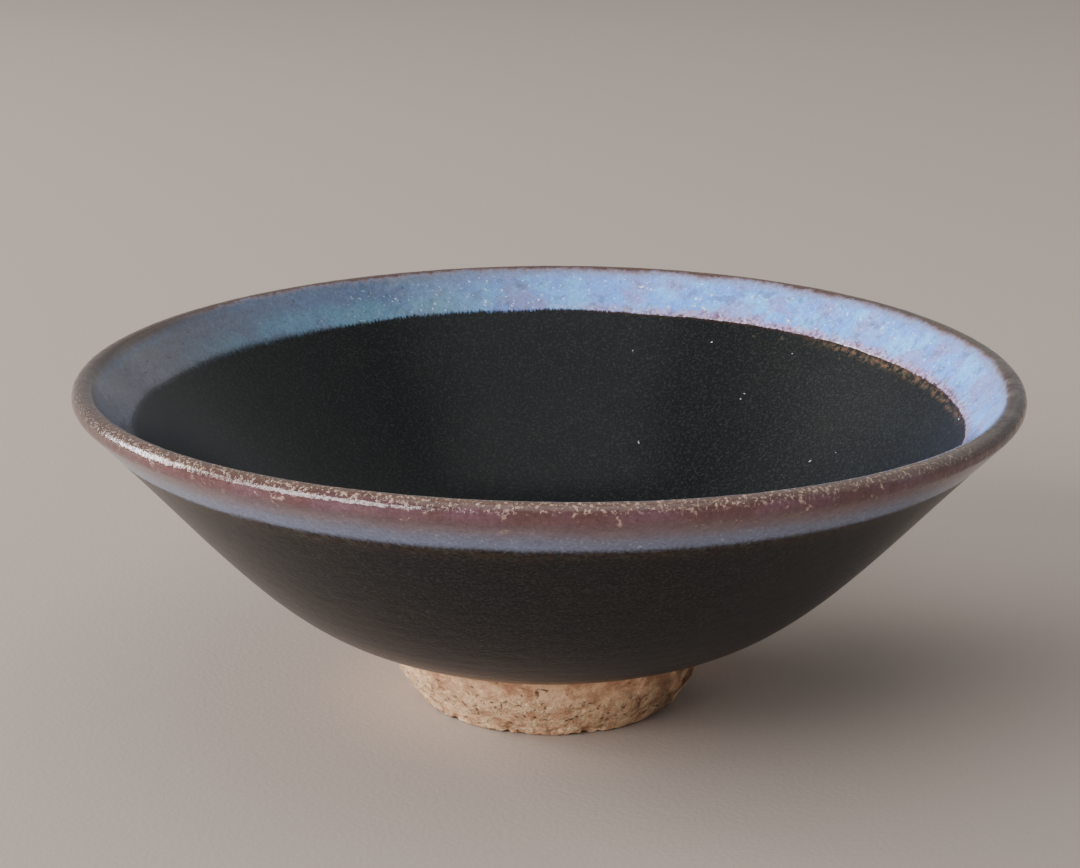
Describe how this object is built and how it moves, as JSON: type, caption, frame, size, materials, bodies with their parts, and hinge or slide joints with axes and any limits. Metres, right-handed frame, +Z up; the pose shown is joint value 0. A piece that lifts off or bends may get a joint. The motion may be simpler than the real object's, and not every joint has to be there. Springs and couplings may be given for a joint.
{
  "type": "tea bowl",
  "caption": "Wide shallow stoneware tea bowl with black glaze, a dipped blue band on each side of the rim, a brown lip and a raw clay foot ring.",
  "frame": {"origin": "centre of the foot ring's resting face", "axes": "+Z up, along the axis the bowl was turned about; +X and +Y in the plane it stands on"},
  "size_m": [0.155, 0.155, 0.0578],
  "materials": {
    "raw_clay": "unglazed sandy tan stoneware, matt and gritty",
    "black_glaze": "satin greenish black, finely speckled",
    "blue_glaze": "opaque milky blue with white specks and small pits",
    "lip_glaze": "thin iron brown, glossy, where the glaze broke over the rim"
  },
  "bodies": {
    "root": {"clay_body": "raw_clay", "foot_ring": "raw_clay", "black_glaze_inside": "black_glaze", "black_glaze_outside": "black_glaze", "blue_glaze_inside": "blue_glaze", "blue_glaze_outside": "blue_glaze", "lip_glaze": "lip_glaze"}
  },
  "joints": []
}
